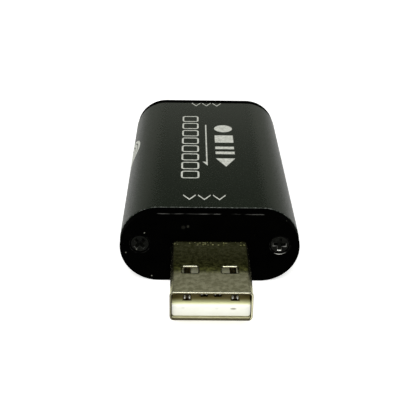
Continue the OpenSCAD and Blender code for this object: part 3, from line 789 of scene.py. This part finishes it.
def cross(reach, width):
    """Outline of a cross recess."""
    a, b = reach, width / 2
    quarter = [(a, -b), (a, b), (b, b)]
    turns = [(1, 0), (0, 1), (-1, 0), (0, -1)]
    return [(c * x - s * z, s * x + c * z) for c, s in turns for x, z in quarter]


def recess_glint(u, v):
    """Painted glints on the recess's edge: most round its lower arm, then under the arms beside it."""
    if v < -RECESS_W:
        return 1.0
    return 0.6 if v < 0 and abs(u) > RECESS_W else 0.04


def thread(y, root):
    """Outline of the screw's thread at a depth, on its helix."""
    points = []
    for k in range(THREAD_STEPS):
        share = (y / THREAD_PITCH - k / THREAD_STEPS) % 1.0
        r = root + THREAD_DEPTH * (1 - abs(2 * share - 1))
        turn = 2 * math.pi * k / THREAD_STEPS
        points.append((r * math.cos(turn), r * math.sin(turn)))
    return points


def screw_form():
    bm = bmesh.new()
    head_r, shank_r = HEAD_D / 2, SCREW_D / 2
    head_h = head_r - shank_r
    # The head's rim ring carries a faint painted glint.
    profile = [(head_r - HEAD_RIM, 0, 0.0), (head_r - HEAD_RIM / 4, HEAD_RIM / 4, 0.02),
               (head_r, HEAD_RIM, 0.0), (shank_r, head_h + HEAD_RIM, 0.0)]
    outer = [(circle(0, 0, r, THREAD_STEPS), y, wear_and_glint) for r, y, wear_and_glint in profile]
    start, step = head_h + PLAIN_SHANK, THREAD_PITCH / 8
    for k in range(int((SCREW_LEN - PLAIN_SHANK - start) / step) + 1):
        y = start + k * step
        outer.append((thread(y, shank_r - THREAD_DEPTH), y, 0.0))
    outer.append((circle(0, 0, shank_r / 2, THREAD_STEPS), SCREW_LEN, 0.0))
    recess = [(cross(RECESS_REACH + RECESS_EDGE, RECESS_W + 2 * RECESS_EDGE), 0, 0.0),
              (cross(RECESS_REACH, RECESS_W), 1.2 * RECESS_EDGE, recess_glint),
              (cross(RECESS_REACH * 0.94, RECESS_W * 0.96), 3 * RECESS_EDGE, 0.0),
              (cross(RECESS_REACH * 0.5, RECESS_W * 0.7), RECESS_DEPTH, 0.0)]
    add_solid(bm, outer, pits=[recess])
    return mesh_object("screw_form", bm)


def scale_glints(piece, left, right):
    """Scales the painted glints of a piece's left and right half."""
    for vert, mark in zip(piece.data.vertices, piece.data.attributes["wear_and_light"].data):
        mark.value *= left if vert.co.x < 0 else right


def screws():
    form = screw_form()
    start = (-SCREW_SPACING / 2, screw_low.y, SCREW_Z)
    rear_start = (-SCREW_SPACING / 2, screw_high.y, SCREW_Z)
    step = (SCREW_SPACING, 0, 0)
    front = row_of("front_screws", form, SCREW, 2, start, step, FRONT_TURN, FRONT_TURN_STEP)
    rear = row_of("rear_screws", form, SCREW, 2, rear_start, step, REAR_TURN, REAR_TURN_STEP)
    bpy.data.objects.remove(form)
    # Painted glints of the front screws: faint on the left screw, full on the right.
    scale_glints(front, 0.1, 1.0)
    for piece in (front, rear):
        settle(piece, SCREW, node="end_plate_screws")


screws()


# Data plug
def add_sheet(bm, path, rows):
    """Adds a folded sheet: a path across X and Z, swept along the rows in Y."""
    grid = [[bm.verts.new(across_y(x, z, y)) for x, z in path] for y in rows]
    for a, b in zip(grid, grid[1:]):
        for i in range(len(path) - 1):
            bm.faces.new((a[i], b[i], b[i + 1], a[i + 1]))


def add_pierced_flat(bm, edge, windows, z):
    """Adds a flat sheet at a height with windows, each in a border that its rounded rim lies in."""
    def row_of_points(outline):
        return [bm.verts.new(Vector((x, y, z)) * MM) for x, y in outline]

    def edges_of(row):
        pairs = [(row[i - 1], row[i]) for i in range(len(row))]
        return [bm.edges.get(pair) or bm.edges.new(pair) for pair in pairs]

    edges = edges_of(row_of_points(edge))
    for inner, border in windows:
        rim, around = row_of_points(inner), row_of_points(border)
        for i in range(len(rim)):
            bm.faces.new((rim[i - 1], rim[i], around[i], around[i - 1]))
        edges += edges_of(around)
    bmesh.ops.triangle_fill(bm, use_beauty=True, edges=edges)


def plug_sheet():
    """Folded sheet of the plug: open along the seam below, with two windows above and two below."""
    bm = bmesh.new()
    low, high = PLUG_TOP - PLUG_H, PLUG_TOP
    front, rear = plug_low.y, plug_high.y
    border = PLUG_BORDER
    ends = [front, front + border, front + PLUG_LIP_STRIP, rear - border, rear]
    strips = (ends[:3], ends[3:])
    corner_x, low_z, high_z = PLUG_W / 2 - PLUG_R, low + PLUG_R, high - PLUG_R
    flat_x = corner_x - PLUG_HOLD
    window_y = front + WINDOW_Y + WINDOW_L / 2
    windows = {}
    for s in (-1, 1):
        window_x = s * WINDOW_PITCH / 2 + WINDOW_SHIFT
        windows[s] = [round_rect(WINDOW_W + 2 * g, WINDOW_L + 2 * g, WINDOW_R + g, window_x, window_y)
                      for g in (0, border)]
    add_pierced_flat(bm, bar(-flat_x, flat_x, ends[2], ends[3]), [windows[-1], windows[1]], high)
    for s in (-1, 1):
        seam = s * PLUG_SEAM / 2
        add_pierced_flat(bm, bar(seam + s * border, s * flat_x, ends[2], ends[3]), [windows[s]], low)
        add_sheet(bm, [(seam, low), (seam + s * border, low)], ends)
        bend = arc(corner_x, low_z, PLUG_R, -90, 0, 8) + arc(corner_x, high_z, PLUG_R, 0, 90, 8)
        bend = [(flat_x, low), *bend, (flat_x, high)]
        add_sheet(bm, [(s * x, z) for x, z in bend], ends)
        for strip in strips:
            add_sheet(bm, [(seam + s * border, low), (s * flat_x, low)], strip)
    for strip in strips:
        add_sheet(bm, [(-flat_x, high), (flat_x, high)], strip)
    bmesh.ops.remove_doubles(bm, verts=bm.verts, dist=MERGE)
    piece = mesh_object("plug_fold", bm)
    wall = piece.modifiers.new("sheet", "SOLIDIFY")
    wall.thickness = PLUG_SHEET * MM
    wall.offset = -1
    wall.use_even_offset = True
    bm = bmesh.new()
    bm.from_mesh(plain_mesh(piece, "plug_wall"))
    round_plug(bm)
    mark_plug(bm)
    return keep_flats(mesh_object("plug_shell_sheet", bm))


def plug_depth(x, z):
    """Depth of a point below the plug's outer outline."""
    across = abs(x) - PLUG_W / 2 + PLUG_R
    up = abs(z - PLUG_MID) - PLUG_H / 2 + PLUG_R
    out = math.hypot(across, up) if across > 0 and up > 0 else max(across, up)
    return PLUG_R - out


def in_window(x, y):
    """Whether a point lies in a window or on its rim."""
    across = abs(abs(x - WINDOW_SHIFT) - WINDOW_PITCH / 2) - WINDOW_W / 2 + WINDOW_R
    along = abs(y - plug_low.y - WINDOW_Y - WINDOW_L / 2) - WINDOW_L / 2 + WINDOW_R
    return math.hypot(max(across, 0), max(along, 0)) < WINDOW_R + 1.5 * WINDOW_LIP


def lip_mark(x, z):
    """Mark of a point on the plug's lip: painted highlight along the top, painted shade elsewhere, lighter on
    the right side than on the left.
    """
    depth = plug_depth(x, z)
    if z > PLUG_TOP - PLUG_SHEET:
        if depth < PLUG_LIP / 2:
            return -1.0
        return 0.75 if depth < PLUG_SHEET / 2 else 1.0
    if z < PLUG_TOP - PLUG_H + PLUG_SHEET + PLUG_LIP or depth < PLUG_LIP:
        return 1.0
    return 0.12 if x > 0 else 0.82


def window_mark(y, depth):
    """Mark of a point on a window's rim: painted highlight on the rear edge, painted shade on the faces
    beside it.
    """
    start = plug_low.y + WINDOW_Y
    rear, front = y > start + WINDOW_L - WINDOW_LIP, y < start + WINDOW_LIP
    if depth < WINDOW_LIP / 8:
        return 1.5 if rear or front else 0.9
    if rear and depth < PLUG_SHEET / 2:
        return -0.6 if depth < 0.9 * WINDOW_LIP else 0.3
    return 1.0


def mark_plug(bm):
    """Marks painted light: shade in the mouth and on the lip, shade on the windows' rims with a highlight at
    the rear, and a lighter inside behind the mouth.
    """
    shade_and_highlight = bm.verts.layers.float.new("wear_and_light")
    for vert in bm.verts:
        x, y, z = vert.co / MM
        inside = plug_depth(x, z) > PLUG_SHEET / 2
        behind_lip = y > plug_low.y + (PLUG_BORDER + PLUG_LIP_STRIP) / 2
        floor_strip = behind_lip and z < PLUG_TOP - PLUG_H + 2 * PLUG_SHEET
        if in_window(x, y):
            vert[shade_and_highlight] = window_mark(y, plug_depth(x, z))
        elif y < plug_low.y + PLUG_LIP:
            vert[shade_and_highlight] = lip_mark(x, z)
        elif inside and y < plug_low.y + MOUTH_L:
            vert[shade_and_highlight] = 0.25 if floor_strip else 1.0
        elif inside:
            vert[shade_and_highlight] = -1.0


def round_plug(bm):
    """Rounds the lip, more on its outside, and the outer rims of the windows."""
    outer_lip, inner_lip, rims = [], [], []
    for edge in bm.edges:
        if len(edge.link_faces) == 2 and edge.calc_face_angle() > SHARP_ANGLE:
            y = max(vert.co.y for vert in edge.verts) / MM
            x = max(abs(vert.co.x) for vert in edge.verts) / MM
            depth = max(plug_depth(vert.co.x / MM, vert.co.z / MM) for vert in edge.verts)
            on_rim = all(in_window(vert.co.x / MM, vert.co.y / MM) for vert in edge.verts)
            if y < plug_low.y + PLUG_LIP and x > PLUG_SEAM:
                (outer_lip if depth < PLUG_SHEET / 2 else inner_lip).append(edge)
            elif on_rim and depth < PLUG_SHEET / 2:
                rims.append(edge)
    for edges, width in ((rims, WINDOW_LIP), (inner_lip, PLUG_INNER_LIP), (outer_lip, PLUG_LIP)):
        edges = [edge for edge in edges if edge.is_valid]
        bmesh.ops.bevel(bm, geom=edges, offset=width * MM, segments=3, profile=0.4, affect="EDGES")


def plug_wings():
    """Wings of the plug's sheet that lie on the board, with the legs that go through it."""
    bm = bmesh.new()
    root, tip = PLUG_W / 2 - PLUG_SHEET / 2, plug_high.x
    inner, low, high = tip - PLUG_SHEET, board_high.z, board_high.z + PLUG_SHEET
    y = (tube_low.y + plug_high.y) / 2
    profile = [(root, low), (inner, low), (inner, plug_low.z), (tip, plug_low.z), (tip, high), (root, high)]
    for s in (-1, 1):
        outline = [(s * x, z) for x, z in profile]
        add_solid(bm, [(outline, y - WING_L / 2, 0.0), (outline, y + WING_L / 2, 0.0)])
    return soften(mesh_object("plug_shell_wings", bm), SOFT_EDGE)


def merged_node(node):
    """Copy of a CAD node with its flat faces merged."""
    bm = bmesh.new()
    bm.from_mesh(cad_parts[node].data)
    bmesh.ops.remove_doubles(bm, verts=bm.verts, dist=MERGE)
    bmesh.ops.dissolve_limit(bm, angle_limit=FLAT_ANGLE, verts=bm.verts, edges=bm.edges)
    return bm


def finished_node(node, width, name):
    """Copy of a CAD node with its edges rounded."""
    return soften(mesh_object(name, merged_node(node)), width)


def plug_tongue():
    """Plug insulator with its upper front edges rounded."""
    bm = merged_node("plug_insulator")

    def at_tip(vert):
        return vert.co.y < (tongue_low.y + TONGUE_TIP) * MM and vert.co.z > TONGUE_UPPER * MM

    front = [edge for edge in bm.edges
             if all(at_tip(vert) for vert in edge.verts) and edge.calc_length() > PLUG_W / 2 * MM]
    bmesh.ops.bevel(bm, geom=front, offset=TONGUE_ROUND * MM, segments=4, profile=0.5, affect="EDGES")
    return soften(mesh_object("plug_tongue", bm), SOFT_EDGE)


def contact_crowns(name, node, spacing):
    """Pairs of raised crowns at the front ends of two contacts."""
    low, high = extent(node)
    bm = bmesh.new()
    for s in (-1, 1):
        crown = bmesh.ops.create_uvsphere(bm, u_segments=16, v_segments=8, radius=MM)["verts"]
        bmesh.ops.scale(bm, verts=crown, vec=CROWN_SIZE)
        bmesh.ops.translate(bm, verts=crown, vec=(s * CROWN_SIDE * MM, 0, 0))
    form = mesh_object(name + "_form", bm)
    start = (-spacing / 2, low.y + CROWN_BACK, high.z)
    piece = row_of(name, form, CROWN_TIN, 2, start, (spacing, 0, 0))
    bpy.data.objects.remove(form)
    settle(piece, CROWN_TIN)


settle(plug_sheet(), PLUG_NICKEL, node="plug_shell")
settle(plug_wings(), PLUG_NICKEL, node="plug_shell")
settle(plug_tongue(), TONGUE, node="plug_insulator")
contact_crowns("plug_outer_crowns", "plug_power_contact", POWER_SPACING)
contact_crowns("plug_inner_crowns", "plug_data_plus_contact", DATA_SPACING)

# Pieces that keep their CAD shape: node, rounding of the edges, finish and slot
KEPT_SHAPES = [
    ("plug_power_contact", 0.06, PLUG_GILT_SHADED, "contact_gilt"),
    ("plug_data_minus_contact", 0.06, PLUG_GILT_SHADED, "contact_gilt"),
    ("plug_data_plus_contact", 0.06, PLUG_GILT_SHADED, "contact_gilt"),
    ("plug_ground_contact", 0.06, PLUG_GILT_SHADED, "contact_gilt"),
    ("socket_shell", SOFT_EDGE, SOCKET_NICKEL, "socket_nickel"),
    ("socket_insulator", SOFT_EDGE, SOCKET_BLACK, "socket_black"),
    ("socket_upper_contacts", 0.03, SOCKET_GILT, "contact_gilt"),
    ("socket_lower_contacts", 0.03, SOCKET_GILT, "contact_gilt"),
    ("circuit_board", SOFT_EDGE, BOARD, "board_green"),
    ("capture_chip", 0.12, CHIP, "chip_black"),
    ("capture_chip_leads", 0.02, TIN, "lead_tin"),
    ("memory_chip", 0.12, CHIP, "chip_black"),
    ("memory_chip_leads", 0.03, TIN, "lead_tin"),
    ("voltage_regulator", 0.1, CHIP, "chip_black"),
    ("voltage_regulator_leads", 0.03, TIN, "lead_tin"),
    ("clock_crystal", 0.12, TIN, "lead_tin"),
    ("ceramic_capacitors", 0.06, CERAMIC, "ceramic_tan"),
    ("chip_resistors", 0.04, CHIP, "chip_black"),
    ("ferrite_beads", 0.06, CHIP, "chip_black"),
    ("surge_protectors", 0.06, CHIP, "chip_black"),
    ("solder_joints", 0.04, TIN, "lead_tin"),
]
for node, width, finish, slot in KEPT_SHAPES:
    settle(finished_node(node, width, node + "_rounded"), finish, node=node)
for place in ("upper_left", "upper_right", "lower_left", "lower_right"):
    node = "spring_" + place
    finger = finished_node(node, FINGER_EDGE, node + "_finger")
    settle(finger, SOCKET_NICKEL, body=node, node=node)


# Printed marks on the tube
def printed(name, outlines, place=on_top):
    """Thin ink shapes, each a list of one outline and its holes."""
    bm = bmesh.new()
    for outer, *holes in outlines:
        rings = [[(outline, w, 0.0) for w in (-PRINT_SINK, PRINT_RISE)] for outline in (outer, *holes)]
        add_solid(bm, rings[0], rings[1:], place=place)
    return mesh_object(name, bm)


def chevron(w, h):
    """Arrow point towards the plug, centred."""
    t = PRINT_STROKE * 1.3
    x, y = w / 2, h / 2
    return [(0, -y), (x, y - t), (x, y), (0, t - y), (-x, y), (-x, y - t)]


def transport_signs():
    """Play, pause, stop and record signs in a row along the tube."""
    left, right = 1.3, 4.7
    mid, half = (left + right) / 2, (right - left) / 2
    play_y, pause_y, stop_y, record_y = 0.8, 6.0, 11.2, 16.2
    play = [(mid, play_y - half), (right, play_y + half), (left, play_y + half)]
    apart, thick = 1.1, 0.55
    pauses = [bar(left, right, pause_y + s * apart - thick, pause_y + s * apart + thick) for s in (-1, 1)]
    stop = bar(left, right, stop_y - half, stop_y + half)
    record = circle(mid, record_y, half)
    return [[play], [pauses[0]], [pauses[1]], [stop], [record]]


def flow_arrow():
    """Thin line along the tube with a half barb at the plug's end."""
    x, near, far = -0.3, -0.5, 18.0
    half, barb, barb_y = PRINT_STROKE * 0.4, 0.75, near + 1.5
    return [[[(x + half, near), (x + half, far), (x - half, far), (x - half, barb_y), (x - barb, barb_y)]]]


def shoulder_rings():
    """Oval rings inside each other, wrapped round the left side."""
    mid_u, mid_v, half_u, half_v = 9.7, 12.9, 4.6, 5.5
    count, stroke, step = 5, 0.6, 0.85

    def oval(inset):
        return [(mid_u + (half_u - inset) * u, mid_v + (half_v - inset) * v) for u, v in circle(0, 0, 1, 64)]

    return [[oval(k * step), oval(k * step + stroke)] for k in range(count)]


def marks_row(name, outlines, count, start, step):
    """Row of one printed form along the tube's top."""
    form = printed(name + "_form", outlines, lambda u, v, w: Vector((u, v, w)) * MM)
    piece = row_of(name, form, INK, count, (*start, BODY_H), (*step, 0))
    bpy.data.objects.remove(form)
    return settle(piece, INK)


FRAME_W, FRAME_L, FRAME_R, FRAME_STEP = 3.1, 2.9, 0.6, 3.6
FRAME_COUNT, FRAME_START = 8, (-3.2, -4.2)
CHEVRON_COUNT, CHEVRON_L = 3, 1.9
NEAR_CHEVRON_W, NEAR_CHEVRON_STEP, NEAR_CHEVRON_START = 2.0, 2.4, (-3.3, -12.6)
FAR_CHEVRON_W, FAR_CHEVRON_STEP, FAR_CHEVRON_START = 1.7, 2.1, (-2.1, 29.0)
film_frame = [round_rect(FRAME_W - 2 * d, FRAME_L - 2 * d, FRAME_R - d, 0, 0, 5) for d in (0, PRINT_STROKE)]
settle(printed("printed_transport_signs", transport_signs()), INK)
settle(printed("printed_flow_arrow", flow_arrow()), INK)
settle(printed("printed_shoulder_rings", shoulder_rings(), on_left_shoulder), INK)
marks_row("printed_film_frames", [film_frame], FRAME_COUNT, FRAME_START, (0, FRAME_STEP))
near_chevron = [chevron(NEAR_CHEVRON_W, CHEVRON_L)]
far_chevron = [chevron(FAR_CHEVRON_W, CHEVRON_L)]
marks_row("printed_near_chevrons", [near_chevron], CHEVRON_COUNT, NEAR_CHEVRON_START, (NEAR_CHEVRON_STEP, 0))
marks_row("printed_far_chevrons", [far_chevron], CHEVRON_COUNT, FAR_CHEVRON_START, (FAR_CHEVRON_STEP, 0))

# Camera, at the place that the photograph was taken from
CAMERA_MM = (-3.30, -128.96, 71.96)
CAMERA_YAW, CAMERA_PITCH, CAMERA_ROLL = 1.482, 27.842, -1.233
IMAGE_PX = 416
FOCAL_PX = 819.0
SENSOR_MM = 36.0


def photo_camera():
    yaw, pitch, roll = (math.radians(a) for a in (CAMERA_YAW, CAMERA_PITCH, CAMERA_ROLL))
    ahead = Vector((math.sin(yaw) * math.cos(pitch), math.cos(yaw) * math.cos(pitch), -math.sin(pitch)))
    level = Vector((math.cos(yaw), -math.sin(yaw), 0))
    up = level.cross(ahead)
    right = level * math.cos(roll) - up * math.sin(roll)
    data = bpy.data.cameras.new("camera")
    data.sensor_width = SENSOR_MM
    data.lens = SENSOR_MM * FOCAL_PX / IMAGE_PX
    data.clip_start, data.clip_end = 0.005, 20
    camera = bpy.data.objects.new("camera", data)
    bpy.context.scene.collection.objects.link(camera)
    bpy.context.scene.camera = camera
    turned = [right, right.cross(ahead), -ahead]
    for row in range(3):
        for column in range(3):
            camera.matrix_world[row][column] = turned[column][row]
        camera.matrix_world[row][3] = CAMERA_MM[row] * MM


photo_camera()


# Stage, in metres and watts
FLOOR_REACH = 3.0
FLOOR_GLOW = 0.62
LAMP_PLACE, LAMP_AIM = Vector((-0.03, -0.36, 0.41)), Vector((0, 0, 0.006))
LAMP_SIZE, LAMP_WATTS = 0.42, 3.1


def floor_finish():
    """Pale floor that reads as white beyond the object's soft shadow."""
    material, tree, shader = new_finish("floor", Roughness=1.0, Specular_IOR_Level=0.0)
    cloud = spread(tree, noise(tree, 40.0, 2.0), 0.0, 1.0)
    pale = mixed(tree, cloud, colour(0.79, 0.79, 0.79), colour(0.81, 0.81, 0.81))
    tree.links.new(pale, shader.inputs["Base Color"])
    rays = add(tree, "ShaderNodeLightPath").outputs
    seen = maths(tree, "MAXIMUM", rays["Is Camera Ray"], rays["Is Glossy Ray"])
    seen = maths(tree, "MAXIMUM", seen, rays["Is Transmission Ray"])
    shader.inputs["Emission Color"].default_value = colour(1, 1, 1)
    tree.links.new(product(tree, seen, FLOOR_GLOW), shader.inputs["Emission Strength"])
    return material


def floor():
    bm = bmesh.new()
    bmesh.ops.create_grid(bm, x_segments=1, y_segments=1, size=FLOOR_REACH)
    piece = mesh_object("floor", bm)
    piece.data.materials.append(floor_finish())


def front_lamp():
    """Square soft lamp, aimed at the middle of the object."""
    data = bpy.data.lights.new("front_lamp", "AREA")
    data.size = LAMP_SIZE
    data.energy = LAMP_WATTS
    lamp = bpy.data.objects.new("front_lamp", data)
    lamp.location = LAMP_PLACE
    lamp.rotation_euler = (LAMP_AIM - LAMP_PLACE).to_track_quat("-Z", "Y").to_euler()
    bpy.context.scene.collection.objects.link(lamp)


floor()
front_lamp()


def studio_world():
    """Soft surround, brighter towards the horizon than overhead, and dimmer in front."""
    world = bpy.data.worlds.new("studio")
    world.use_nodes = True
    tree = world.node_tree
    way = way_of(tree, "Generated")
    fall = ramp(tree, way["Z"], 0.22, 0.49, 0.61, 0.06, unit=1)
    lift = ramp(tree, way["Z"], 0.47, 0.58, 0.0, 0.25, unit=1)
    front = ramp(tree, way["Y"], -0.9, -0.2, 0.45, 1.0, unit=1)
    surround = tree.nodes["Background"].inputs
    tree.links.new(product(tree, maths(tree, "ADD", fall, lift), front), surround["Strength"])
    surround["Color"].default_value = colour(0.98, 1.0, 0.88)
    bpy.context.scene.world = world


studio_world()
bpy.context.scene.view_settings.view_transform = "Standard"
